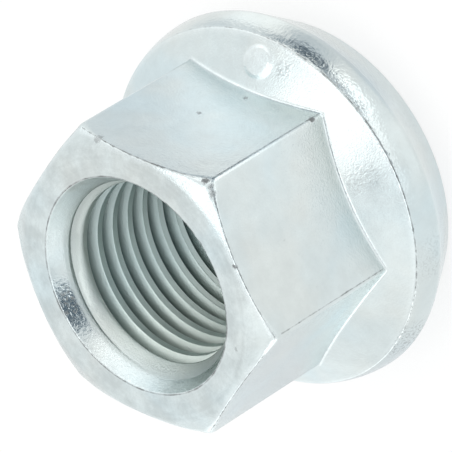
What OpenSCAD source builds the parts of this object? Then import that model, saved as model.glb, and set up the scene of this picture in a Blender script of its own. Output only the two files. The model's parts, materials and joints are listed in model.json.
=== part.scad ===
// Conical lug nut for an M14 x 1.5 wheel stud: a hexagon that runs down into a
// round flange, with a 60 degree cone below the flange as its seat.
// It stands on the seat end: Z is the thread axis, the wrench end is up, and the
// origin is the centre of the bottom face. All lengths are in millimetres.

/* [Hexagon] */
// Width across the flats
across_flats = 19; // [18.5:0.1:20]
// Height of the whole nut, from the bottom face to the wrench end
nut_h = 18.2; // [17:0.1:24]
// Radius of the six upright corners
corner_r = 0.4; // [0.2:0.05:0.8]
// Diameter of the flat ring on the wrench end, where the corner chamfer starts
face_d = 18.6; // [18:0.1:18.9]
// Angle of the corner chamfer below the flat ring, in degrees
chamfer_a = 27; // [20:1:32]
// Radius that softens the start of the corner chamfer
chamfer_r = 1.2; // [0.4:0.1:1.6]

/* [Flange] */
// Largest diameter of the flange
flange_d = 26; // [25.8:0.1:27]
// Diameter of the sharp upper edge of the rim
edge_d = 25.2; // [24.6:0.1:25.4]
// Height of the rounded rim, from the largest diameter up to the upper edge
rim_h = 2; // [1.2:0.1:2.6]
// Slope of the flange's conical top, in degrees
top_a = 29; // [20:1:32]

/* [Seat] */
// Height of the seat cone
seat_h = 3.3; // [2.5:0.1:4]
// Included angle of the seat cone, in degrees
seat_a = 60; // [56:1:64]
// Radius of the edge between the seat cone and the bottom face
foot_r = 0.3; // [0.1:0.1:0.5]

/* [Thread] */
// Outer diameter of the thread
thread_d = 14; // [13.8:0.1:14.2]
// Pitch of the thread; the plain bore is the outer diameter less one pitch
pitch = 1.5; // [1.25:0.25:2]
// Mouth diameter of both countersinks
sink_d = 15.1; // [14.6:0.1:15.4]
// Included angle of the countersink at the wrench end, in degrees
sink_top_a = 60; // [60:5:90]
// Included angle of the countersink at the seat end, in degrees
sink_foot_a = 90; // [60:5:120]

/* [Pip] */
// Diameter of the round pip on the flange
pip_d = 2; // [1.5:0.1:2.4]
// Height of the pip above the flange's conical top
pip_h = 0.12; // [0.05:0.01:0.3]
// Distance of the pip from the axis
pip_at = 11.2; // [11:0.1:11.4]

/* [Hidden] */
$fn = 96;

// Half the width across the flats
flat_r = across_flats / 2;
// Distance from the axis to the centre of each corner's rounding
corner_at = (flat_r - corner_r) / cos(30);
// Tangent length of the rounding at the start of the chamfer
chamfer_t = chamfer_r * tan(chamfer_a / 2);
// Outer radius at which the chamfer cone is cut off, clear of the corners
reach = flat_r / cos(30) + 1;

rim_r = flange_d / 2;
edge_r = edge_d / 2;
// Height of the rim's upper edge
edge_z = seat_h + rim_h;
// Radius of the rim's arc, upright at the largest diameter and ending at the upper edge
rim_arc = (pow(rim_r - edge_r, 2) + pow(rim_h, 2)) / (2 * (rim_r - edge_r));

// Radius of the seat cone where it meets the bottom face
foot_edge = rim_r - seat_h * tan(seat_a / 2);
// Tangent length of the rounding at that edge
foot_t = foot_r * tan((90 - seat_a / 2) / 2);

minor_r = (thread_d - pitch) / 2;
sink_r = sink_d / 2;
sink_top_h = (sink_r - minor_r) / tan(sink_top_a / 2);
sink_foot_h = (sink_r - minor_r) / tan(sink_foot_a / 2);
// How far cutting shapes run past the faces that they cut
over = 0.5;

// Direction of the flat that the pip stands over
pip_turn = -30;
pip_z = cone_z(pip_at);
// Depth of the pip's root inside the flange
pip_root = 0.6;

zinc = [0.83, 0.86, 0.88];

// Height of the flange's conical top at the distance r from the axis
function cone_z(r) = edge_z + (edge_r - r) * tan(top_a);

// A point at the distance r from the point c, in the direction a
function polar(c, r, a) = [c[0] + r * cos(a), c[1] + r * sin(a)];

// Hexagon with its six corners rounded: the flats end where the corner circles begin
module rounded_hexagon() {
    polygon([for (k = [0:5]) for (side = [-30, 30])
        polar(polar([0, 0], corner_at, 60 * k), corner_r, 60 * k + side)]);
    for (k = [0:5])
        rotate(60 * k)
            translate([corner_at, 0])
                circle(corner_r);
}

// Outline that cuts the wrench end: a flat ring, a soft bend and the corner chamfer
module chamfer_outline() {
    face_r = face_d / 2;
    polygon([
        [0, 0],
        [reach, 0],
        [reach, nut_h - (reach - face_r) * tan(chamfer_a)],
        [face_r + chamfer_t * cos(chamfer_a), nut_h - chamfer_t * sin(chamfer_a)],
        [face_r - chamfer_t, nut_h],
        [0, nut_h]
    ]);
    translate([face_r - chamfer_t, nut_h - chamfer_r])
        circle(chamfer_r);
}

// Hexagon from inside the flange to the wrench end
module wrench_hexagon() {
    intersection() {
        translate([0, 0, seat_h])
            linear_extrude(nut_h)
                rounded_hexagon();
        rotate_extrude()
            chamfer_outline();
    }
}

// Outline of the flange above its largest diameter: conical top and round rim
module rim_outline() {
    intersection() {
        polygon([
            [0, seat_h],
            [rim_r + over, seat_h],
            [rim_r + over, cone_z(rim_r + over)],
            [0, cone_z(0)]
        ]);
        union() {
            translate([rim_r - rim_arc, seat_h])
                circle(rim_arc);
            square([rim_r - rim_arc, nut_h]);
        }
    }
}

// Outline of the seat: cone, soft edge and bottom face
module seat_outline() {
    half = seat_a / 2;
    polygon([
        [0, 0],
        [foot_edge - foot_t, 0],
        [foot_edge + foot_t * sin(half), foot_t * cos(half)],
        [rim_r, seat_h],
        [0, seat_h]
    ]);
    translate([foot_edge - foot_t, foot_r])
        circle(foot_r);
}

module flange() {
    rotate_extrude() {
        rim_outline();
        seat_outline();
    }
}

// Low round pip, square to the conical top, over the middle of one flat
module pip() {
    rotate([0, 0, pip_turn])
        translate([pip_at, 0, pip_z])
            rotate([0, top_a, 0])
                translate([0, 0, -pip_root])
                    cylinder(d = pip_d, h = pip_root + pip_h);
}

// Bore with a countersink at each end
module bore() {
    rotate_extrude()
        polygon([
            [0, -over],
            [sink_r + over * tan(sink_foot_a / 2), -over],
            [minor_r, sink_foot_h],
            [minor_r, nut_h - sink_top_h],
            [sink_r + over * tan(sink_top_a / 2), nut_h + over],
            [0, nut_h + over]
        ]);
}

// The nut: one forged and turned piece
module lug_nut() {
    color(zinc)
        difference() {
            union() {
                wrench_hexagon();
                flange();
                pip();
            }
            bore();
        }
}

lug_nut();
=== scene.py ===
"""Conical lug nut: the plated surface with its helical thread, and a soft light tent."""
import json
import math

import bpy
import numpy as np
from bpy.props import FloatProperty, FloatVectorProperty, PointerProperty
from bpy.types import Operator, Panel, PropertyGroup
from mathutils import Matrix, Vector


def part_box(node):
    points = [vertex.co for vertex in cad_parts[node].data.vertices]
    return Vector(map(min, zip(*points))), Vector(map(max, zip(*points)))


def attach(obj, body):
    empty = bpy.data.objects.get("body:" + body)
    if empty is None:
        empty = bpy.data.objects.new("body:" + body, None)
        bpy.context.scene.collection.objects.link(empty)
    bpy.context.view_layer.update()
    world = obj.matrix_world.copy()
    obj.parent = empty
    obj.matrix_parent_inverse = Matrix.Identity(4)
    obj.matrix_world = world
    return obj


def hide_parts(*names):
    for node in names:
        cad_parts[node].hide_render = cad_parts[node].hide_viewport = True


bl_info = {
    "name": "Conical lug nut",
    "version": (1, 0, 0),
    "blender": (4, 5, 0),
    "location": "View3D > Sidebar > Lug nut",
    "description": "Builds a zinc-plated conical lug nut and the light tent it stands in",
    "category": "Add Mesh",
}

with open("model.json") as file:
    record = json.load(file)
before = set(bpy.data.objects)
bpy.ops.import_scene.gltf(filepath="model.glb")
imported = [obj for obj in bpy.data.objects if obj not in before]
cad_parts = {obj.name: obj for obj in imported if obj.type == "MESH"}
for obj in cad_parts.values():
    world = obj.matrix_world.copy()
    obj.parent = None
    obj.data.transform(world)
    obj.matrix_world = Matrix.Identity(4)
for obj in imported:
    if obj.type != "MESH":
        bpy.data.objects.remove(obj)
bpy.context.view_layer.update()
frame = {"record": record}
NUT_LOW, NUT_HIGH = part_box("lug_nut")
THREAD_MOUNT = next(m for m in frame["record"]["mounts"] if m["name"] == "stud_thread")

MM = 0.001
# Width of the strips of close points that keep an edge crisp
HOLD = 0.03 * MM
# Reach of the softening at the thread's root, and where thread and countersink meet
ROOT_SOFT = 0.25 * MM
MEET_SOFT = 0.08 * MM
# The last groove turns shallower: from this height, over this height, by this depth
SHALLOW_FROM = 15.6 * MM
SHALLOW_OVER = 1.5 * MM
SHALLOW_BY = 0.27 * MM
# Reach of the wear at the six corner tips, along the edge
TIP_REACH = 1.1 * MM
# Reach of a dirty or pale line to each side; the pale lines are partly wear, partly painted highlight
LINE_REACH = 0.3 * MM
# How far the dirty line lies past the middle of a rounded edge, and the pale line before it
DIRT_PAST = 0.03 * MM
RUB_AND_HIGHLIGHT_BEFORE = 0.1 * MM
# The same two lines along the upright corners: place across the corner, and strength
CORNER_DIRT = (0.15 * MM, 0.93)
CORNER_RUB_AND_HIGHLIGHT = (-0.05 * MM, 0.2)
# Points up to this far above and below the pip's plane are lifted, and how pale its top is
PIP_REACH = 0.4 * MM
PIP_PALE = 0.55
# Noise of the plate: features per metre, detail and roughness
NOISES = {
    "wide": (130.0, 3.0, 0.5),
    "cloud": (620.0, 5.0, 0.65),
    "rings": (2600.0, 3.0, 0.7),
    "rough": (2400.0, 5.0, 0.75),
    "patchy": (900.0, 5.0, 0.7),
    "speckle": (5200.0, 4.0, 0.7),
    "fine": (7500.0, 3.0, 0.7),
    "soft": (450.0, 2.0, 0.5),
    "blotches": (4300.0, 1.5, 0.5),
}
# Specks: cells per metre, share of the cells with one, largest radius in cells, edge, strength
SPECK_CELLS, SPECK_SHARE, SPECK_RADIUS, SPECK_EDGE, SPECK_LEVEL = 650.0, 0.12, 0.09, 14.0, 0.35
# Zones of the plate: the measures in mm between which each one comes in
ZONES = {
    "thread radius": (7.05, 6.9),
    "countersink radius": (7.7, 7.5),
    "rim radius": (12.4, 12.6),
    # Greener and darker deeper in the bore: partly the plate's tint, partly painted shade
    "bore tint and shade depth": (17.8, 14.6),
    "end height": (17.7, 18.1),
    # First turns: straw tint, and painted shade in the first groove
    "straw and groove shade height": (14.5, 16.8),
    # Painted light and shade: the thread darker towards +X, lighter towards -X
    "painted light side": (4.5, -5.0),
    "straw side": (0.0, -6.0),
    # Painted shade in the first groove, on its +X side
    "painted groove shade side": (-5.0, 0.0),
    "dull side": (3.0, 6.0),
}
# Floor: half its side in metres, its grey, and its own glow for rays that see it
FLOOR_HALF, FLOOR_GREY, FLOOR_GLOW = 1.2, 0.35, 0.72
# Level of the white surroundings as diffuse light; they are seen as 1
WORLD_LIGHT = 0.85
# Lamp above: diameter, power in watts, azimuth and elevation in degrees, distance, and its aim
LAMP_SIZE, LAMP_POWER = 0.3, 0.12
LAMP_AZIMUTH, LAMP_ELEVATION, LAMP_DISTANCE = -10, 75, 0.4
LAMP_AIM = (0, 0, 0.01)
# Light tent in metres: the dome's radius, the sheet's inner radius and height, and the height
# that the panels' angles start from
TENT_RADIUS, SHEET_RADIUS, SHEET_HEIGHT, TENT_EYE = 0.5, 0.012, 0.0002, 0.006
# Points round the tent, circles of its sheet, and circles of its dome with the foot
TENT_TURNS, SHEET_CIRCLES, DOME_CIRCLES = 180, 64, 66
# Colour of the tent where its level is 0
TENT_DIM = (0.5, 0.75, 1.0)
# Panels of the light tent in degrees, with white as level 1:
# azimuth, elevation, half width, half height, soft edge, level
PANELS = (
    (-5.4, 76.2, 25, 25, 5, 0.78),
    (-5.4, 76.2, 18.5, 18.5, 2.5, 2.1),
    (60, 74, 11.5, 11.5, 3, 1.15),
    (-124, 76, 4.5, 3.5, 2.5, 0.5),
    (15, 20, 40, 18, 14, 1.2),
    (155, 2, 30, 10, 10, 1.4),
    (165, -22, 30, 10, 8, 0.93),
    (170, 58, 34, 15, 8, 1.2),
    (-178, 4, 24, 9, 7, 2.0),
    (-150, 10, 14, 8, 6, 1.35),
    (-103, 42, 22, 14, 8, 1.85),
    (-70, -4, 13, 5, 4, 1.6),
    (-93, -1.8, 15, 3, 3, 1.5),
    (-54, -9, 15, 5, 3, 1.7),
    (-84, -16.5, 14, 4, 3, 1.1),
    (-12, -18, 18, 4, 4, 1.24),
    (14, -13, 13, 3.5, 3, 0.91),
    (-50, -24, 18, 5, 4, 0.85),
    (-32, -16.8, 13, 3.2, 3, 0.8),
    (-10, -8.6, 13, 2.6, 3, 0.72),
    (-29.5, -9.3, 12.5, 4.6, 3, 0.14),
    (-16.5, -8.8, 7.5, 2.2, 2, 0.35),
    (-44, -5.6, 9, 2, 2, 0.5),
    (-52, -1.5, 15, 3.5, 2.5, 0.45),
    (-32, 15.5, 15, 7, 4, 1.85),
    (0, 9, 20, 5.5, 4, 1.8),
    (42, 9, 12, 4, 4, 0.8),
    (-90, 19.8, 22, 12, 3, 0.2),
)
# Small dirty marks: azimuth in degrees, distance from the axis, height and size in mm, strength
MARKS = (
    (-58.4, 10.68, 17.34, 0.45, 1.0),
    (-63.4, 10.5, 17.5, 0.5, 0.5),
    (-61.0, 10.68, 17.42, 0.45, 0.5),
    (-90.3, 9.41, 18.13, 0.35, 0.9),
    (-59.6, 10.88, 7.2, 0.35, 0.9),
    (-32.9, 9.51, 7.91, 0.3, 0.45),
    (-26.8, 9.52, 11.28, 0.25, 0.5),
    (-128.9, 8.46, 18.2, 0.3, 0.4),
    (-10.1, 10.06, 17.77, 0.6, 0.45),
)
# Rougher part of the upper countersink, given in the same way
DARK_PATCH = (93.0, 7.3, 17.7, 4.6, 1.0)
# Rougher spots of the flange's conical top, given in the same way
ROUGH_SPOTS = (
    (-86.5, 10.8, 6.3, 1.8, 0.6),
    (-40.0, 11.45, 5.95, 0.9, 0.9),
)
# Scuffs made of fine dark speckles, given in the same way
SCUFFS = (
    (-86.0, 11.3, 6.0, 1.2, 0.22),
    (-86.8, 10.1, 6.7, 0.9, 0.25),
    (-40.0, 11.45, 5.95, 0.8, 0.2),
    (93.0, 7.15, 17.5, 1.5, 0.8),
    (-59.0, 12.6, 5.25, 1.2, 0.3),
    (-148.0, 12.8, 4.7, 2.4, 0.4),
    (-117.0, 12.95, 3.7, 2.2, 0.12),
    (-66.0, 12.6, 5.3, 0.9, 0.5),
)


def length(name, description, default):
    """A length property, given in millimetres and kept in metres."""
    return FloatProperty(name=name, description=description, default=default * MM, min=0.0,
                         precision=5, subtype="DISTANCE", unit="LENGTH")


def angle(name, description, default):
    """An angle property, given in degrees and kept in radians."""
    return FloatProperty(name=name, description=description, default=math.radians(default),
                         subtype="ANGLE", unit="ROTATION")


def colour(name, description, default):
    """A linear colour property."""
    return FloatVectorProperty(name=name, description=description, default=default, size=3,
                               min=0.0, max=1.0, subtype="COLOR")


class NutSizes(PropertyGroup):
    """Sizes of the nut, as its solid has them, and the small radii that only this surface has."""
    nut_h: length("Height", "From the bottom face to the wrench end",
                  (NUT_HIGH[2] - NUT_LOW[2]) / MM)
    across_flats: length("Across flats", "Width across the flats", 19.0)
    corner_r: length("Corner radius", "Radius of the six upright corners", 0.4)
    face_d: length("Face", "Diameter at which the corner chamfer starts", 18.6)
    chamfer_a: angle("Chamfer", "Slope of the corner chamfer", 27.0)
    chamfer_r: length("Chamfer bend", "Radius that softens the start of the chamfer", 1.2)
    edge_round: length("Edge round", "Radius of the edge between chamfer and flats", 0.2)
    tip_round: length("Tip round", "Radius of that edge at the worn corners", 1.0)
    fillet_r: length("Fillet", "Radius between the flats and the flange", 0.3)
    flange_d: length("Flange", "Largest diameter of the flange",
                     (NUT_HIGH[0] - NUT_LOW[0]) / MM)
    edge_d: length("Rim edge", "Diameter of the rim's upper edge", 25.2)
    rim_h: length("Rim height", "From the largest diameter up to the rim's edge", 2.0)
    rim_round: length("Rim round", "Radius of the rim's upper edge", 0.25)
    seat_round: length("Seat round", "Radius between the rim and the seat cone", 0.9)
    top_a: angle("Flange top", "Slope of the flange's conical top", 29.0)
    seat_h: length("Seat", "Height of the seat cone", 3.3)
    seat_a: angle("Seat angle", "Included angle of the seat cone", 60.0)
    foot_r: length("Foot round", "Radius between the seat cone and the bottom face", 0.3)
    minor_r: length("Thread inside", "Inner radius of the thread",
                    THREAD_MOUNT["dims"]["r_mm"])
    major_r: length("Thread outside", "Outer radius of the thread, a little over its bolt's", 7.12)
    pitch: length("Pitch", "Rise of the thread in one turn", 1.5)
    thread_at: length("Thread start", "Height of a crest's lower edge in the +X direction", 0.40)
    sink_d: length("Countersink", "Mouth diameter of both countersinks", 15.1)
    sink_top_a: angle("Upper countersink", "Included angle at the wrench end", 60.0)
    sink_foot_a: angle("Lower countersink", "Included angle at the seat end", 90.0)
    mouth_r: length("Mouth round", "Radius of both countersink mouths", 0.12)
    pip_d: length("Pip", "Diameter of the round pip", 2.0)
    pip_h: length("Pip height", "Height of the pip above the flange", 0.12)
    pip_ramp: length("Pip edge", "Width of the pip's sloping edge", 0.42)
    pip_at: length("Pip place", "Distance of the pip from the axis", 11.2)
    pip_turn: angle("Pip direction", "Direction of the pip round the axis", -30.0)


class NutFinish(PropertyGroup):
    """Colours and gloss of the zinc plate."""
    zinc: colour("Zinc", "Colour of the clean plate", (0.67, 0.745, 0.75))
    blue: colour("Blue tint", "Faint blue tint of the passivation", (0.64, 0.745, 0.77))
    warm: colour("Warm tint", "Faint straw tint of the passivation", (0.69, 0.745, 0.735))
    # Pale colour of the edge lines and the pip: partly wear, partly painted highlight
    pale: colour("Pale plate", "Colour of the rubbed pip", (0.80, 0.87, 0.88))
    # Darker green in the thread: partly the plate's tint, partly painted shade
    thread_tint: colour("Thread tint", "Darker green tint in the thread", (0.60, 0.715, 0.71))
    thread_warm: colour("Thread straw", "Straw tint of the first turns", (0.68, 0.72, 0.66))
    grime: colour("Grime", "Colour of the thin dirt along the edges", (0.13, 0.135, 0.14))
    roughness: FloatProperty(name="Roughness", description="Roughness of the clean plate",
                             default=0.13, min=0.0, max=1.0)
    thread_roughness: FloatProperty(name="Thread roughness", description="Roughness in the thread",
                                    default=0.42, min=0.0, max=1.0)


class Studio(PropertyGroup):
    """The camera."""
    lens: FloatProperty(name="Lens", description="Focal length on a 36 mm frame",
                        default=516.7, unit="CAMERA")
    distance: length("Distance", "From the camera to the point that it looks at", 419.2)
    azimuth: angle("Azimuth", "Direction of the camera, from +X towards +Y", -76.47)
    elevation: angle("Elevation", "Height of the camera above the floor", 41.26)
    roll: angle("Roll", "Turn of the camera about its own axis", -121.67)
    aim: FloatVectorProperty(name="Aim", description="Point that the camera looks at",
                             default=(0.00024, -0.00001, 0.00902), subtype="XYZ", unit="LENGTH")


def ease(share):
    """Share kept between 0 and 1 and eased at both ends: 3 s^2 - 2 s^3."""
    share = np.clip(share, 0, 1)
    return share * share * (3 - 2 * share)


def unit(x, y):
    """Unit vector of the direction (x, y) in the plane of the profile."""
    size = np.hypot(x, y)
    return np.stack(np.broadcast_arrays(x / size, y / size), axis=-1)


def corner_arc(corner, to_last, to_next, radius, steps):
    """Rows of points that round a corner of the profile.

    The arc touches both sides at radius / tan(half the corner's angle) from the corner, and its
    points are directions turned evenly from one touching point to the other about the centre.
    """
    opening = np.arccos(np.clip(np.sum(to_last * to_next, axis=-1), -1, 1))[..., None]
    inward = to_last + to_next
    inward = inward / np.linalg.norm(inward, axis=-1, keepdims=True)
    centre = corner + inward * radius / np.sin(opening / 2)
    reach = radius / np.tan(opening / 2)
    first = corner + to_last * reach - centre
    last = corner + to_next * reach - centre
    turn = np.pi - opening
    share = np.linspace(0, 1, steps + 1)[:, None, None]
    return centre + (np.sin((1 - share) * turn) * first + np.sin(share * turn) * last) / np.sin(turn)


def between(first, last, count, eased=True):
    """Rows on the straight line from one row to another, without its two ends.

    The share of the way is even, or (1 - cos) / 2 so that rows gather at both ends.
    """
    share = np.linspace(0, 1, count + 2)[1:-1]
    if eased:
        share = (1 - np.cos(np.pi * share)) / 2
    share = share[:, None, None]
    return first * (1 - share) + last * share


def turn_angles(size):
    """Directions round the axis that every row uses, with more at the corners and at the pip.

    In each sixth: the corner arc in even turns of its own circle, two close steps beside it, and
    even steps along the flat. Round the pip, steps of a thirtieth of its diameter.
    """
    corner_points, flat_points, pip_points = 9, 28, 38
    corner_at = (size.across_flats / 2 - size.corner_r) / math.cos(math.pi / 6)
    spin = np.radians(np.linspace(-30, 30, corner_points))
    arc = np.arctan2(size.corner_r * np.sin(spin), corner_at + size.corner_r * np.cos(spin))
    side = arc[-1] + np.radians([0.12, 0.5])
    flat = np.linspace(side[-1], np.pi / 3 - side[-1], flat_points)[1:-1]
    sixth = np.concatenate([arc, side, flat, np.pi / 3 - side])
    turns = (sixth + np.arange(6)[:, None] * np.pi / 3).ravel() % (2 * np.pi)
    pip_reach = 0.62 * size.pip_d / size.pip_at
    pip_side = size.pip_turn % (2 * np.pi)
    clear = turns[np.abs(turns - pip_side) > pip_reach + np.radians(0.3)]
    fine = pip_side + np.linspace(-pip_reach, pip_reach, pip_points)
    return np.sort(np.concatenate([clear, fine]))


def from_corner(turns):
    """Angle from the nearest of the hexagon's six corners."""
    return (turns + np.pi / 6) % (np.pi / 3) - np.pi / 6


def hexagon_radius(turns, size):
    """Distance from the axis to the hexagon's outline, in each direction.

    Folded to the nearest corner, the outline is the far side of the corner circle close to the
    corner, and elsewhere the flat: half the width across flats / cos(angle from its middle).
    """
    flat_r = size.across_flats / 2
    corner_at = (flat_r - size.corner_r) / math.cos(math.pi / 6)
    fold = from_corner(turns)
    touch = math.atan2(size.corner_r / 2, corner_at + size.corner_r * math.cos(math.pi / 6))
    inside = np.maximum(size.corner_r ** 2 - (corner_at * np.sin(fold)) ** 2, 0)
    circle = corner_at * np.cos(fold) + np.sqrt(inside)
    flat = flat_r / np.cos(np.pi / 6 - np.abs(fold))
    return np.where(np.abs(fold) < touch, circle, flat)


def end_face(radius, size):
    """Height and slope of the wrench end at a distance from the axis.

    A flat ring, then a circle of the bend's radius that touches ring and chamfer, then the cone
    of the chamfer.
    """
    start = size.face_d / 2 - size.chamfer_r * math.tan(size.chamfer_a / 2)
    past = np.maximum(radius - start, 0)
    lean = np.arcsin(np.clip(past / size.chamfer_r, 0, math.sin(size.chamfer_a)))
    on_arc = size.chamfer_r * (1 - np.cos(lean))
    on_cone = (past - size.chamfer_r * np.sin(lean)) * math.tan(size.chamfer_a)
    return size.nut_h - on_arc - on_cone, lean


def near_line(away, strength):
    """Closeness to a line: the strength on it, falling evenly to nothing at LINE_REACH."""
    return strength * np.clip(1 - np.abs(away) / LINE_REACH, 0, 1)


def outer_rows(turns, size):
    """Rows of (radius, height) from the upper mouth, over the outside, to the lower mouth.

    Straight runs joined by corner arcs. The rows of the hexagon change their radius with the
    direction and all others are circles. The other results are how near each point lies to a dirty
    line and to a pale one, by the length of the profile between them; the pale lines are partly
    wear, partly painted highlight.
    """
    count = len(turns)

    def row(radius, height):
        return np.stack(np.broadcast_arrays(radius, height, np.zeros(count))[:2], axis=-1)

    half = size.sink_top_a / 2
    into_sink = unit(-math.sin(half), -math.cos(half))
    mouth = corner_arc(row(size.sink_d / 2, size.nut_h), into_sink, unit(1, 0), size.mouth_r,
                       steps=5)
    upper_hold = mouth[:1] + HOLD * into_sink
    hexagon = hexagon_radius(turns, size)
    end_z, lean = end_face(hexagon, size)
    from_tip = from_corner(turns) * hexagon / TIP_REACH
    softened = size.edge_round + (size.tip_round - size.edge_round) * np.exp(-from_tip ** 2)
    edge = corner_arc(row(hexagon, end_z), unit(-np.cos(lean), np.sin(lean)), unit(0, -1),
                      softened[:, None], steps=6)
    bend_start = row(size.face_d / 2 - size.chamfer_r * math.tan(size.chamfer_a / 2), size.nut_h)
    ring = between(mouth[-1], bend_start, count=7)
    slope = between(bend_start, edge[0], count=16)
    slope[..., 1] = end_face(slope[..., 0], size)[0]

    edge_r, rim_r = size.edge_d / 2, size.flange_d / 2
    edge_z = size.seat_h + size.rim_h
    down = unit(math.cos(size.top_a), -math.sin(size.top_a))
    foot_of_flat = row(hexagon, edge_z + (edge_r - hexagon) * math.tan(size.top_a))
    fillet = corner_arc(foot_of_flat, unit(0, 1), down, size.fillet_r, steps=7)
    wall = between(edge[-1], fillet[0], count=18)

    rim_arc = ((rim_r - edge_r) ** 2 + size.rim_h ** 2) / (2 * (rim_r - edge_r))
    opening = math.asin(size.rim_h / rim_arc)
    rim_edge = corner_arc(row(edge_r, edge_z), -down, unit(math.sin(opening), -math.cos(opening)),
                          size.rim_round, steps=5)
    top = between(fillet[-1], rim_edge[0], count=44, eased=False)
    half = size.seat_a / 2
    down_seat = unit(-math.sin(half), -math.cos(half))
    widest = corner_arc(row(rim_r, size.seat_h), unit(0, 1), down_seat, size.seat_round, steps=5)
    first, last = (np.arcsin((e[0, 1] - size.seat_h) / rim_arc) for e in (rim_edge[-1], widest[0]))
    bow = np.linspace(first, last, 16)[1:-1, None]
    rim = row(rim_r - rim_arc + rim_arc * np.cos(bow), size.seat_h + rim_arc * np.sin(bow))

    foot_edge = rim_r - size.seat_h * math.tan(half)
    foot = corner_arc(row(foot_edge, 0), -down_seat, unit(-1, 0), size.foot_r, steps=5)
    seat = between(widest[-1], foot[0], count=9)
    half = size.sink_foot_a / 2
    into_sink = unit(-math.sin(half), math.cos(half))
    low_mouth = corner_arc(row(size.sink_d / 2, 0), unit(1, 0), into_sink, size.mouth_r, steps=5)
    lower_hold = low_mouth[-1:] + HOLD * into_sink
    base = between(foot[-1], low_mouth[0], count=8)
    # Each part with the strengths of its dirty and its pale line; the rim's dirty line is
    # strongest towards azimuth -80 degrees. The fillet's pale line is painted highlight, and the
    # other pale lines are partly wear, partly painted highlight
    fading = 0.8 + 0.2 * np.cos(turns + np.radians(80))
    parts = [(upper_hold, 0, 0), (mouth, 1, 0.3), (ring, 0, 0), (slope, 0, 0), (edge, 1, 0.7),
             (wall, 0, 0), (fillet, 0, 1), (top, 0, 0), (rim_edge, fading, 0.5), (rim, 0, 0),
             (widest, 0, 0), (seat, 0, 0), (foot, 1, 0.3), (base, 0, 0), (low_mouth, 1, 0.3),
             (lower_hold, 0, 0)]
    rows = np.concatenate([p for p, _, _ in parts])
    steps = np.linalg.norm(np.diff(rows, axis=0), axis=-1)
    run = np.concatenate([np.zeros((1, count)), np.cumsum(steps, axis=0)])
    dark = np.zeros(run.shape)
    light = np.zeros(run.shape)
    start = 0
    for part, dirty, rubbed_and_highlighted in parts:
        away = run - run[start + len(part) // 2]
        dark = np.maximum(dark, near_line(away - DIRT_PAST, dirty))
        light = np.maximum(light, near_line(away + RUB_AND_HIGHLIGHT_BEFORE, rubbed_and_highlighted))
        start += len(part)
    return rows, dark, light


def thread_bends(size):
    """Heights within one pitch, from a crest's lower edge, at which flanks and root begin.

    The root is an eighth of the pitch wide at half a pitch above the crest, and narrower beyond.
    """
    slope = math.tan(math.pi / 6)
    flank = (size.major_r - size.minor_r) * slope
    root = size.pitch / 8 - 2 * (size.major_r - size.minor_r - size.pitch / 2) * slope
    crest = size.pitch - root - 2 * flank
    return crest, crest + flank, crest + flank + root


def thread_offsets(size):
    """Heights within one pitch at which the thread has its points."""
    crest, root_low, root_high = thread_bends(size)
    soft = 0.09 * MM
    edges = [-HOLD, 0, HOLD, crest - HOLD, crest, crest + HOLD]
    root = np.linspace(root_low - soft, root_high + soft, 5)
    middles = [crest / 2, (crest + root_low) / 2, (root_high + size.pitch) / 2]
    return np.sort(np.concatenate([edges, root, middles]) % size.pitch)


def soft_least(first, second, reach):
    """The smaller of two values, less reach / 4 * (1 - difference / reach)^2 where they are near."""
    near = np.clip(1 - np.abs(first - second) / reach, 0, 1)
    return np.minimum(first, second) - reach / 4 * near * near


def thread_radius(height, size):
    """Radius of the thread at a height above a crest's lower edge, the same after each pitch.

    Two flanks at 30 degrees from the radial direction, with a sharp crest and a soft root.
    """
    crest, root_low, root_high = thread_bends(size)
    from_root = np.abs(height % size.pitch - (root_low + root_high) / 2)
    flanks = size.major_r + ((root_high - root_low) / 2 - from_root) / math.tan(math.pi / 6)
    return np.maximum(soft_least(flanks, size.major_r, ROOT_SOFT), size.minor_r)


def bore_levels(turns, low, high, size):
    """Radius and height of the bore's points, one column for each direction.

    Every level follows the helix height = start + pitch * turn / one turn + offset. The radius is
    the largest of the thread's and the two countersinks' at that height, softened where they meet,
    heights stop at the two mouths, and the point nearest to a countersink's end is moved onto it.
    Towards the wrench end the groove turns shallower by an eased share of the height.
    The other results are 1 on the thread, and how deep in its groove each point lies.
    """
    offsets = thread_offsets(size)
    first = math.floor((low - size.thread_at) / size.pitch) - 2
    last = math.ceil((high - size.thread_at) / size.pitch) + 2
    starts = size.thread_at + size.pitch * np.arange(first, last)
    levels = (starts[:, None] + offsets).ravel()
    climb = size.pitch * turns / (2 * np.pi)
    height = np.clip(levels[:, None] + climb, low, high)

    def countersink(z):
        upper = size.sink_d / 2 - (size.nut_h - z) * math.tan(size.sink_top_a / 2)
        lower = size.sink_d / 2 - z * math.tan(size.sink_foot_a / 2)
        return np.maximum(upper, lower)

    def thread(z):
        shallow = SHALLOW_BY * ease((z - SHALLOW_FROM) / SHALLOW_OVER)
        return np.maximum(thread_radius(z - climb - size.thread_at, size) - shallow, size.minor_r)

    gap = thread(height) - countersink(height)
    groove = np.where(gap > 0, (thread(height) - size.minor_r) / (size.major_r - size.minor_r), 0)
    crossed = gap[:-1] * gap[1:] < 0
    share = np.where(crossed, gap[:-1] / np.where(crossed, gap[:-1] - gap[1:], 1), 0)
    meet = height[:-1] + share * (height[1:] - height[:-1])
    height[:-1] = np.where(crossed & (share < 0.5), meet, height[:-1])
    height[1:] = np.where(crossed & (share >= 0.5), meet, height[1:])
    radius = -soft_least(-thread(height), -countersink(height), MEET_SOFT)
    radius = np.where((height > low) & (height < high), radius, countersink(height))
    return radius, height, (gap > 0).astype(float), groove, len(offsets)


def ring_faces(index):
    """Four-cornered faces between each row of a closed ring grid and the next row."""
    after = np.roll(index, -1, axis=1)
    return np.stack([index[:-1], index[1:], after[1:], after[:-1]], axis=-1).reshape(-1, 4)


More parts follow.
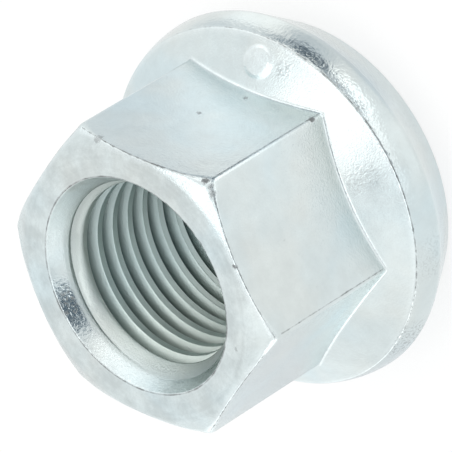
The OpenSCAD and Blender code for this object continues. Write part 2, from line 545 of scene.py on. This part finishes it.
def split_faces(quads):
    """Faces with two equal corners become triangles, and those with fewer than three go."""
    same = quads == np.roll(quads, -1, axis=1)
    twins = same.sum(axis=1)
    whole = quads[twins == 0]
    thin = quads[twins == 1][~same[twins == 1]].reshape(-1, 3)
    return whole, thin


def pip_lift(points, size):
    """Lift of each point by the pip, and how pale it is there, from wear and painted highlight.

    The lift is full inside the pip's circle and falls to nothing over its sloping edge. The
    distance is taken square to the pip's axis, and the fall is eased. The top is partly pale, and
    the middle of the sloping edge in full; this pale is partly wear, partly painted highlight.
    """
    side = np.array([math.cos(size.pip_turn), math.sin(size.pip_turn), 0])
    up = side * math.sin(size.top_a) + np.array([0, 0, math.cos(size.top_a)])
    fall = (size.edge_d / 2 - size.pip_at) * math.tan(size.top_a)
    centre = side * size.pip_at + np.array([0, 0, size.seat_h + size.rim_h + fall])
    away = points - centre
    along = away @ up
    across = np.linalg.norm(away - along[..., None] * up, axis=-1)
    share = ease((size.pip_d / 2 - across) / size.pip_ramp + 0.5)
    near = np.abs(along) < PIP_REACH
    rubbed_and_highlighted = near * np.maximum(PIP_PALE * share, 4 * share * (1 - share))
    return up * (size.pip_h * share * near)[..., None], rubbed_and_highlighted


def nut_mesh(size):
    """Closed surface of the nut: outer rows and helical bore that share the two mouth rings."""
    turns = turn_angles(size)
    rows, row_dark, row_light = outer_rows(turns, size)
    outer = np.stack([rows[..., 0] * np.cos(turns), rows[..., 0] * np.sin(turns), rows[..., 1]], -1)
    lift, rubbed_and_highlighted = pip_lift(outer, size)
    outer = outer + lift
    low, high = rows[-1, 0, 1], rows[0, 0, 1]
    radius, height, thread, groove, per_turn = bore_levels(turns, low, high, size)
    inner = np.stack([radius * np.cos(turns), radius * np.sin(turns), height], -1)

    outer_index = np.arange(outer[..., 0].size).reshape(outer.shape[:2])
    own = height + np.zeros_like(radius)
    free = (own > low) & (own < high)
    inner_index = np.where(own >= high, outer_index[0], outer_index[-1])
    inner_index[free] = outer_index.size + np.arange(free.sum())
    points = np.concatenate([outer.reshape(-1, 3), inner[free]])

    after = np.roll(inner_index, -1, axis=1)
    after[:, -1] = np.concatenate([inner_index[per_turn:, 0], np.full(per_turn, inner_index[-1, 0])])
    bore = np.stack([inner_index[:-1], inner_index[1:], after[1:], after[:-1]], -1).reshape(-1, 4)
    quads = np.concatenate([ring_faces(outer_index), bore])
    whole, thin = split_faces(quads)

    mesh = bpy.data.meshes.new("plated_nut")
    mesh.from_pydata(points.tolist(), [], whole.tolist() + thin.tolist())
    hexagon = hexagon_radius(turns, size)
    across = from_corner(turns) * hexagon
    upright = np.isclose(rows[..., 0], hexagon, rtol=0, atol=1e-7)
    corner_dark, corner_light = (near_line(across - away, strength) * upright
                                 for away, strength in (CORNER_DIRT, CORNER_RUB_AND_HIGHLIGHT))
    edges = np.maximum(row_dark, corner_dark)
    rubbed_and_highlighted = np.maximum(np.maximum(rubbed_and_highlighted, row_light), corner_light)
    plain = np.zeros(free.sum())
    for name, outside, inside in (("edge", edges, plain), ("rubbed_and_highlighted", rubbed_and_highlighted, plain),
                                  ("thread", 0 * edges, thread[free]),
                                  ("groove", 0 * edges, groove[free])):
        values = np.concatenate([outside.ravel(), inside]).astype(np.float32)
        mesh.attributes.new(name, "FLOAT", "POINT").data.foreach_set("value", values)
    mesh.update()
    mesh.validate()
    mesh.shade_smooth()
    return mesh


def add_node(tree, kind, place, **settings):
    """A node of a kind, at a place in the editor, with its plain settings and input values."""
    node = tree.nodes.new(kind)
    node.location = place
    for name, value in settings.items():
        if hasattr(node, name):
            setattr(node, name, value)
        else:
            node.inputs[name.replace("_", " ")].default_value = value
    return node


def math_node(tree, place, operation, first, second=None, clamp=False):
    """A Math node whose inputs are numbers or other nodes' outputs; gives its output."""
    node = add_node(tree, "ShaderNodeMath", place, operation=operation, use_clamp=clamp)
    for socket, value in zip(node.inputs, (first, second)):
        if isinstance(value, bpy.types.NodeSocket):
            tree.links.new(value, socket)
        elif value is not None:
            socket.default_value = value
    return node.outputs[0]


def map_range(tree, place, value, low, high, to_low=0.0, to_high=1.0, smooth=True):
    """Value carried from one range to another and kept inside it, with soft ends if smooth."""
    node = add_node(tree, "ShaderNodeMapRange", place,
                    interpolation_type="SMOOTHSTEP" if smooth else "LINEAR")
    tree.links.new(value, node.inputs["Value"])
    for name, number in zip(("From Min", "From Max", "To Min", "To Max"), (low, high, to_low, to_high)):
        node.inputs[name].default_value = number
    return node.outputs["Result"]


def mix_colour(tree, place, share, first, second, blend="MIX"):
    """Mix of two colours; each is a colour or another node's output."""
    node = add_node(tree, "ShaderNodeMix", place, data_type="RGBA", blend_type=blend)
    for socket, value in zip((node.inputs[0], node.inputs[6], node.inputs[7]), (share, first, second)):
        if isinstance(value, bpy.types.NodeSocket):
            tree.links.new(value, socket)
        elif isinstance(value, float):
            socket.default_value = value
        else:
            socket.default_value = (*value, 1)
    return node.outputs[2]


def zone(tree, place, value, name, to_low=0.0, to_high=1.0, smooth=True):
    """Value carried from the two ends of a zone of ZONES to another range."""
    low, high = ZONES[name]
    return map_range(tree, place, value, low * MM, high * MM, to_low, to_high, smooth)


def noise(tree, place, vector, name):
    """Noise of NOISES, from 0 to 1."""
    scale, detail, roughness = NOISES[name]
    node = add_node(tree, "ShaderNodeTexNoise", place, Scale=scale, Detail=detail,
                    Roughness=roughness)
    tree.links.new(vector, node.inputs["Vector"])
    return node.outputs["Fac"]


def specks(tree, x, y, vector):
    """Sparse small specks: round dots in cells of which only a share holds one."""
    cells = add_node(tree, "ShaderNodeTexVoronoi", (x, y), Scale=SPECK_CELLS)
    tree.links.new(vector, cells.inputs["Vector"])
    split = add_node(tree, "ShaderNodeSeparateColor", (x + 200, y - 200))
    tree.links.new(cells.outputs["Color"], split.inputs["Color"])
    chosen = math_node(tree, (x + 400, y - 200), "LESS_THAN", split.outputs[0], SPECK_SHARE)
    size = math_node(tree, (x + 400, y - 400), "MULTIPLY", split.outputs[1], SPECK_RADIUS)
    inside = math_node(tree, (x + 400, y), "SUBTRACT", size, cells.outputs["Distance"])
    dot = math_node(tree, (x + 600, y), "MULTIPLY", inside, SPECK_EDGE, clamp=True)
    return math_node(tree, (x + 800, y), "MULTIPLY", dot, chosen)


def attribute(tree, place, name):
    """Value of a mesh attribute."""
    node = add_node(tree, "ShaderNodeAttribute", place, attribute_name=name)
    return node.outputs["Fac"]


def near_spot(tree, place, vector, spot):
    """Closeness to a spot of MARKS or the lists after it: 1 in its middle, 0 at its size."""
    turn, away, up, size = math.radians(spot[0]), spot[1] * MM, spot[2] * MM, spot[3] * MM
    node = add_node(tree, "ShaderNodeVectorMath", place, operation="DISTANCE")
    node.inputs[1].default_value = (away * math.cos(turn), away * math.sin(turn), up)
    tree.links.new(vector, node.inputs[0])
    return map_range(tree, (place[0] + 200, place[1]), node.outputs["Value"], size, 0.0, smooth=False)


def zinc_material(finish):
    """Zinc plate: satin metal, crystalline grain, faint tints, turning marks, edge wear, painted
    highlight.

    Marks and scuffs are dark, and the rough spots have a coarser grain. The upper countersink is
    duller on its +X side. Inside the bore the plate turns greener, darker and duller with the
    depth, the darkening partly its own tint and partly painted shade. The first turns are straw,
    the -X side warmer, the thread painted lighter towards -X and darker towards +X as light and
    shade, and the grooves are painted darkest as shade.
    """
    material = bpy.data.materials.new("zinc plate")
    material.use_nodes = True
    tree = material.node_tree
    shader = tree.nodes["Principled BSDF"]
    place = add_node(tree, "ShaderNodeTexCoord", (-2400, 0)).outputs["Object"]
    axes = add_node(tree, "ShaderNodeSeparateXYZ", (-2200, -600))
    tree.links.new(place, axes.inputs[0])
    square_x = math_node(tree, (-2000, -600), "MULTIPLY", axes.outputs["X"], axes.outputs["X"])
    square_y = math_node(tree, (-2000, -800), "MULTIPLY", axes.outputs["Y"], axes.outputs["Y"])
    radius = math_node(tree, (-1600, -600), "SQRT",
                       math_node(tree, (-1800, -600), "ADD", square_x, square_y))
    thread = math_node(tree, (-1300, -500), "MAXIMUM", attribute(tree, (-1400, -600), "thread"),
                       zone(tree, (-1400, -500), radius, "thread radius"))
    # Bore share: greener and darker with depth, partly the plate's own tint, partly painted shade
    depth = zone(tree, (-1400, -900), axes.outputs["Z"], "bore tint and shade depth")
    bore = math_node(tree, (-1200, -700), "MULTIPLY", thread, depth)
    on_end = zone(tree, (-1400, -1200), axes.outputs["Z"], "end height")

    wide = noise(tree, (-2000, 300), place, "wide")
    cloud = noise(tree, (-2000, 100), place, "cloud")
    tint = mix_colour(tree, (-1600, 400), map_range(tree, (-1800, 300), wide, 0.5, 0.66), finish.zinc,
                      finish.warm)
    tint = mix_colour(tree, (-1400, 400), map_range(tree, (-1800, 500), wide, 0.5, 0.34), tint,
                      finish.blue)
    turned = add_node(tree, "ShaderNodeCombineXYZ", (-1400, -1400))
    tree.links.new(radius, turned.inputs["X"])
    rings = noise(tree, (-1200, -1400), turned.outputs[0], "rings")
    soft_shade = map_range(tree, (-1600, 100), cloud, 0.3, 0.7, 0.935, 1.03, smooth=False)
    ring_shade = math_node(tree, (-800, -1400), "MULTIPLY", on_end,
                           map_range(tree, (-1000, -1400), rings, 0.35, 0.65, -0.035, 0.025, smooth=False))
    end_cloud = math_node(tree, (-800, -1200), "MULTIPLY", on_end,
                          map_range(tree, (-1000, -1200), cloud, 0.4, 0.62, -0.09, 0.02, smooth=False))
    shade = math_node(tree, (-600, -1300), "ADD", soft_shade,
                      math_node(tree, (-700, -1300), "ADD", ring_shade, end_cloud))

    edge = attribute(tree, (-2000, -200), "edge")
    rough_noise = noise(tree, (-2000, -400), place, "rough")
    patchy = noise(tree, (-2000, -900), place, "patchy")
    ragged = math_node(tree, (-1600, -300), "ADD", edge,
                       map_range(tree, (-1800, -300), rough_noise, 0.2, 0.8, -0.2, 0.2, smooth=False))
    dirt = math_node(tree, (-1400, -200), "MULTIPLY", map_range(tree, (-1600, -200), ragged, 0.76, 1.0),
                     map_range(tree, (-1800, -100), patchy, 0.38, 0.6, 0.35, 1.0))
    # Pale lines and pip: partly wear, partly painted highlight
    pale = math_node(tree, (-1400, 0), "MULTIPLY", attribute(tree, (-2000, 0), "rubbed_and_highlighted"),
                     map_range(tree, (-1600, -100), patchy, 0.62, 0.4, 0.45, 1.0))
    dots = specks(tree, -2600, -400, place)
    dots = math_node(tree, (-1300, -400), "MULTIPLY", dots, SPECK_LEVEL)
    dirt = math_node(tree, (-1200, -300), "MAXIMUM", dirt, dots)
    uneven = map_range(tree, (-1400, -1800), rough_noise, 0.2, 0.8, -0.7, 0.7, smooth=False)
    for spot in MARKS:
        torn = math_node(tree, (-1300, -1600), "ADD", near_spot(tree, (-1600, -1600), place, spot), uneven)
        mark = map_range(tree, (-1200, -1600), torn, 0.4, 0.75, 0.0, spot[4])
        dirt = math_node(tree, (-1000, -1600), "MAXIMUM", dirt, mark)
    speckle = map_range(tree, (-1400, -2000), noise(tree, (-1600, -2000), place, "speckle"), 0.5, 0.6)
    turned_face = math_node(tree, (-1000, -1000), "SUBTRACT",
                            zone(tree, (-1200, -1000), radius, "countersink radius"), thread,
                            clamp=True)
    patch = map_range(tree, (-1000, -2400), near_spot(tree, (-1200, -2400), place, DARK_PATCH), 0.0, 0.7)
    blotchy = math_node(tree, (-800, -1200), "MAXIMUM",
                        math_node(tree, (-900, -1100), "MULTIPLY", turned_face, patch),
                        zone(tree, (-1000, -1150), radius, "rim radius"))
    for spot in ROUGH_SPOTS:
        rough_spot = map_range(tree, (-1000, -2600), near_spot(tree, (-1200, -2600), place, spot),
                               0.0, 0.6, 0.0, spot[4])
        blotchy = math_node(tree, (-700, -1200), "MAXIMUM", blotchy, rough_spot)
    speckle = math_node(tree, (-1200, -1900), "MULTIPLY", speckle, blotchy)
    for spot in SCUFFS:
        near = map_range(tree, (-1400, -2200), near_spot(tree, (-1600, -2200), place, spot), 0.0, 0.6)
        scuff = math_node(tree, (-1200, -2200), "MULTIPLY", near,
                          math_node(tree, (-1200, -2000), "MULTIPLY", speckle, spot[4]))
        dirt = math_node(tree, (-1000, -2200), "MAXIMUM", dirt, scuff)
    dirt = math_node(tree, (-1000, -300), "MULTIPLY", dirt, 0.85)
    grey = add_node(tree, "ShaderNodeCombineColor", (-1400, 150))
    for socket in grey.inputs:
        tree.links.new(shade, socket)
    base = mix_colour(tree, (-1200, 300), 1.0, tint, grey.outputs[0], "MULTIPLY")
    base = mix_colour(tree, (-1000, 300), pale, base, finish.pale)
    base = mix_colour(tree, (-800, 300), dirt, base, finish.grime)
    # First turns: straw tint, and where the first groove gets painted shade
    first_turns = zone(tree, (-1000, 600), axes.outputs["Z"], "straw and groove shade height")
    straw = math_node(tree, (-900, 550), "MAXIMUM", first_turns,
                      zone(tree, (-1000, 500), axes.outputs["X"], "straw side", 0.0, 0.65))
    in_thread = mix_colour(tree, (-800, 500), straw, finish.thread_tint, finish.thread_warm)
    # Painted light and shade: the thread's colour is darker towards +X and lighter towards -X
    painted_thread_light = add_node(tree, "ShaderNodeHueSaturation", (-700, 400))
    tree.links.new(zone(tree, (-900, 400), axes.outputs["X"], "painted light side", 0.8, 1.2, smooth=False),
                   painted_thread_light.inputs["Value"])
    tree.links.new(in_thread, painted_thread_light.inputs["Color"])
    base = mix_colour(tree, (-600, 300), bore, base, painted_thread_light.outputs[0])
    # Painted shade: the grooves turn darker and more saturated, deepest parts most, first groove on +X
    deep = add_node(tree, "ShaderNodeHueSaturation", (-600, 550), Saturation=1.7, Value=0.38)
    tree.links.new(base, deep.inputs["Color"])
    groove_depth = attribute(tree, (-900, 700), "groove")
    groove = map_range(tree, (-700, 700), groove_depth, 0.2, 0.95)
    groove = math_node(tree, (-600, 700), "MULTIPLY", groove, bore)
    first_groove_shade = math_node(tree, (-600, 900), "MULTIPLY", first_turns,
                             map_range(tree, (-700, 900), groove_depth, 0.15, 0.5, 0.0, 0.3))
    first_groove_shade = math_node(tree, (-500, 900), "MULTIPLY", first_groove_shade,
                             zone(tree, (-700, 1000), axes.outputs["X"], "painted groove shade side"))
    groove = math_node(tree, (-500, 700), "MAXIMUM", groove, first_groove_shade)
    base = mix_colour(tree, (-400, 300), groove, base, deep.outputs[0])
    tree.links.new(base, shader.inputs["Base Color"])

    smudge = map_range(tree, (-800, 0), cloud, 0.35, 0.7, finish.roughness - 0.03,
                       finish.roughness + 0.09, smooth=False)
    rough = add_node(tree, "ShaderNodeMix", (-400, 0), data_type="FLOAT")
    tree.links.new(thread, rough.inputs[0])
    tree.links.new(smudge, rough.inputs[2])
    rough.inputs[3].default_value = finish.thread_roughness
    dull_side = math_node(tree, (-600, -150), "MULTIPLY", turned_face,
                          zone(tree, (-800, -150), axes.outputs["X"], "dull side", 0.0, 0.25))
    dull = math_node(tree, (-200, -100), "MULTIPLY", dirt, 0.3)
    dull = math_node(tree, (-200, -50), "ADD", dull, dull_side)
    dull = math_node(tree, (-200, 0), "ADD", dull, rough.outputs[0])
    tree.links.new(dull, shader.inputs["Roughness"])
    metal = map_range(tree, (-200, 150), dirt, 0.0, 1.0, 1.0, 0.2, smooth=False)
    tree.links.new(metal, shader.inputs["Metallic"])

    fine = noise(tree, (-800, -600), place, "fine")
    soft = noise(tree, (-800, -800), place, "soft")
    blotches = noise(tree, (-800, -1000), place, "blotches")
    pits = add_node(tree, "ShaderNodeBump", (-600, -700), Distance=0.000026)
    tree.links.new(blotchy, pits.inputs["Strength"])
    tree.links.new(blotches, pits.inputs["Height"])
    grain = add_node(tree, "ShaderNodeBump", (-400, -500), Distance=0.000024)
    tree.links.new(map_range(tree, (-600, -400), blotchy, 0.0, 1.0, 1.0, 0.4, smooth=False),
                   grain.inputs["Strength"])
    tree.links.new(pits.outputs["Normal"], grain.inputs["Normal"])
    swell = add_node(tree, "ShaderNodeBump", (-200, -500), Strength=0.5, Distance=0.00004)
    tree.links.new(fine, grain.inputs["Height"])
    tree.links.new(soft, swell.inputs["Height"])
    tree.links.new(grain.outputs["Normal"], swell.inputs["Normal"])
    tree.links.new(swell.outputs["Normal"], shader.inputs["Normal"])
    return material


class LUGNUT_OT_nut(Operator):
    """Build the plated surface of the nut"""
    bl_idname = "lug_nut.nut"
    bl_label = "Plated nut"

    def execute(self, context):
        nut = bpy.data.objects.new("plated_nut", nut_mesh(context.scene.nut_sizes))
        context.scene.collection.objects.link(nut)
        nut.data.materials.append(zinc_material(context.scene.nut_finish))
        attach(nut, "root")
        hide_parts("lug_nut")
        return {"FINISHED"}


class LUGNUT_OT_stage(Operator):
    """Build the floor, the lights and the camera"""
    bl_idname = "lug_nut.stage"
    bl_label = "Light tent"

    def execute(self, context):
        make_floor(context)
        make_world(context)
        make_tent(context)
        make_lights(context)
        make_camera(context, context.scene.nut_studio)
        context.scene.view_settings.view_transform = "Standard"
        return {"FINISHED"}


def is_seen(tree, place):
    """Value of 1 for camera, glossy and transmission rays."""
    path = add_node(tree, "ShaderNodeLightPath", place)
    either = math_node(tree, (place[0] + 200, place[1]), "MAXIMUM", path.outputs["Is Camera Ray"],
                       path.outputs["Is Glossy Ray"])
    return math_node(tree, (place[0] + 400, place[1]), "MAXIMUM", either,
                     path.outputs["Is Transmission Ray"])


def make_floor(context):
    """Pale floor at the height of the bottom face."""
    half = FLOOR_HALF
    mesh = bpy.data.meshes.new("floor")
    mesh.from_pydata([(-half, -half, 0), (half, -half, 0), (half, half, 0), (-half, half, 0)], [],
                     [(0, 1, 2, 3)])
    floor = bpy.data.objects.new("floor", mesh)
    context.scene.collection.objects.link(floor)
    material = bpy.data.materials.new("floor")
    material.use_nodes = True
    tree = material.node_tree
    shader = tree.nodes["Principled BSDF"]
    shader.inputs["Base Color"].default_value = (FLOOR_GREY, FLOOR_GREY, FLOOR_GREY, 1)
    shader.inputs["Roughness"].default_value = 1.0
    shader.inputs["Specular IOR Level"].default_value = 0.0
    shader.inputs["Emission Color"].default_value = (1, 1, 1, 1)
    glow = math_node(tree, (-200, -300), "MULTIPLY", is_seen(tree, (-900, -300)), FLOOR_GLOW)
    tree.links.new(glow, shader.inputs["Emission Strength"])
    mesh.materials.append(material)


def facing(azimuth, elevation, distance, aim, roll=0.0):
    """Placement at a distance from a point in a direction, with -Z towards it, rolled about Z."""
    level = math.cos(elevation)
    back = Vector((level * math.cos(azimuth), level * math.sin(azimuth), math.sin(elevation)))
    right = Vector((0, 0, 1)).cross(back).normalized()
    turn = Matrix((right, back.cross(right), back)).transposed() @ Matrix.Rotation(roll, 3, "Z")
    return Matrix.LocRotScale(Vector(aim) + back * distance, turn, None)


def panel_mask(ways, panel):
    """How far each direction lies inside a panel's soft ellipse, from 0 to 1.

    With x and y as the angles from the panel's middle to the side and upwards, divided by the
    half width a and half height b, the mask is the eased share
    (1 - hypot(x, y)) min(a, b) / soft edge + 1 / 2.
    """
    azimuth, elevation, half_width, half_height, soft = np.radians(panel[:5])
    middle = np.array([math.cos(elevation) * math.cos(azimuth),
                       math.cos(elevation) * math.sin(azimuth), math.sin(elevation)])
    side = np.array([-math.sin(azimuth), math.cos(azimuth), 0])
    front = ways @ middle
    away = np.hypot(np.arctan2(ways @ side, front) / half_width,
                    np.arctan2(ways @ np.cross(middle, side), front) / half_height)
    return ease((1 - away) * min(half_width, half_height) / soft + 0.5)


def make_tent(context):
    """Tent round the nut that only reflections show: a sheet on the floor and a dome.

    Rows of circles: on the floor the radius grows by equal ratios, and on the dome the elevation
    by equal steps up to the pole. The level is 1, carried towards each panel's own level by its
    mask, and stands in the attribute "glow". Below 1 the light is bluer, the lower the level.
    """
    grow = np.geomspace(SHEET_RADIUS, TENT_RADIUS, SHEET_CIRCLES)
    rise = np.radians(np.linspace(0, 90, DOME_CIRCLES))[1:]
    radius = np.concatenate([grow, TENT_RADIUS * np.cos(rise)])[:, None]
    height = np.concatenate([np.full(len(grow), SHEET_HEIGHT), TENT_RADIUS * np.sin(rise)])[:, None]
    turns = np.linspace(0, 2 * np.pi, TENT_TURNS, endpoint=False)
    points = np.stack(np.broadcast_arrays(radius * np.cos(turns), radius * np.sin(turns), height), -1)
    ways = points - (0, 0, TENT_EYE)
    ways = ways / np.linalg.norm(ways, axis=-1, keepdims=True)
    level = np.ones(ways.shape[:2])
    for panel in PANELS:
        level += panel_mask(ways, panel) * (panel[5] - level)
    index = np.arange(level.size).reshape(level.shape)
    index[-1] = index[-1, 0]
    whole, thin = split_faces(ring_faces(index))
    mesh = bpy.data.meshes.new("tent")
    kept = points.reshape(-1, 3)[:index[-1, 0] + 1]
    mesh.from_pydata(kept.tolist(), [], whole.tolist() + thin.tolist())
    mesh.attributes.new("glow", "FLOAT", "POINT").data.foreach_set(
        "value", level.ravel()[:len(kept)].astype(np.float32))
    material = bpy.data.materials.new("tent")
    material.use_nodes = True
    tree = material.node_tree
    tree.nodes.remove(tree.nodes["Principled BSDF"])
    glow = add_node(tree, "ShaderNodeEmission", (0, 0))
    level = attribute(tree, (-600, 0), "glow")
    tree.links.new(level, glow.inputs["Strength"])
    share = map_range(tree, (-400, 100), level, 0.0, 1.0, smooth=False)
    tree.links.new(mix_colour(tree, (-200, 100), share, TENT_DIM, (1.0, 1.0, 1.0)),
                   glow.inputs["Color"])
    tree.links.new(glow.outputs[0], tree.nodes["Material Output"].inputs["Surface"])
    material.cycles.emission_sampling = "NONE"
    mesh.materials.append(material)
    tent = bpy.data.objects.new("tent", mesh)
    tent.visible_camera = False
    tent.visible_diffuse = False
    tent.visible_shadow = False
    context.scene.collection.objects.link(tent)


def make_lights(context):
    """Soft lamp above, for the shadow on the floor."""
    data = bpy.data.lights.new("top_lamp", "AREA")
    data.shape = "DISK"
    data.size = LAMP_SIZE
    data.energy = LAMP_POWER
    lamp = bpy.data.objects.new("top_lamp", data)
    lamp.matrix_world = facing(math.radians(LAMP_AZIMUTH), math.radians(LAMP_ELEVATION),
                               LAMP_DISTANCE, LAMP_AIM)
    lamp.visible_camera = False
    lamp.visible_glossy = False
    context.scene.collection.objects.link(lamp)


def make_world(context):
    """White surroundings."""
    world = bpy.data.worlds.new("light tent")
    context.scene.world = world
    world.use_nodes = True
    tree = world.node_tree
    background = tree.nodes["Background"]
    background.inputs["Color"].default_value = (1, 1, 1, 1)
    level = map_range(tree, (-200, 0), is_seen(tree, (-900, 0)), 0.0, 1.0, WORLD_LIGHT, 1.0,
                      smooth=False)
    tree.links.new(level, background.inputs["Strength"])


def make_camera(context, studio):
    """Camera from its direction, distance and roll about its own axis."""
    data = bpy.data.cameras.new("camera")
    data.lens = studio.lens
    data.sensor_width = 36.0
    data.clip_start = 0.01
    data.clip_end = 10.0
    camera = bpy.data.objects.new("camera", data)
    camera.matrix_world = facing(studio.azimuth, studio.elevation, studio.distance, studio.aim,
                                 studio.roll)
    context.scene.collection.objects.link(camera)
    context.scene.camera = camera


class LUGNUT_PT_panel(Panel):
    """Sizes and finish of the nut, and the camera"""
    bl_label = "Conical lug nut"
    bl_space_type = "VIEW_3D"
    bl_region_type = "UI"
    bl_category = "Lug nut"

    def draw(self, context):
        column = self.layout.column()
        for group in (context.scene.nut_sizes, context.scene.nut_finish, context.scene.nut_studio):
            for name in group.bl_rna.properties.keys():
                if name not in {"rna_type", "name"}:
                    column.prop(group, name)
        column.operator("lug_nut.nut")
        column.operator("lug_nut.stage")


CLASSES = (NutSizes, NutFinish, Studio, LUGNUT_OT_nut, LUGNUT_OT_stage, LUGNUT_PT_panel)


def register():
    """Register the classes and the scene's three groups of settings."""
    for cls in CLASSES:
        bpy.utils.register_class(cls)
    bpy.types.Scene.nut_sizes = PointerProperty(type=NutSizes)
    bpy.types.Scene.nut_finish = PointerProperty(type=NutFinish)
    bpy.types.Scene.nut_studio = PointerProperty(type=Studio)


def unregister():
    """Take the settings and the classes out again."""
    del bpy.types.Scene.nut_studio
    del bpy.types.Scene.nut_finish
    del bpy.types.Scene.nut_sizes
    for cls in reversed(CLASSES):
        bpy.utils.unregister_class(cls)


def main():
    register()
    bpy.ops.lug_nut.nut()
    bpy.ops.lug_nut.stage()


if __name__ == "__main__":
    main()
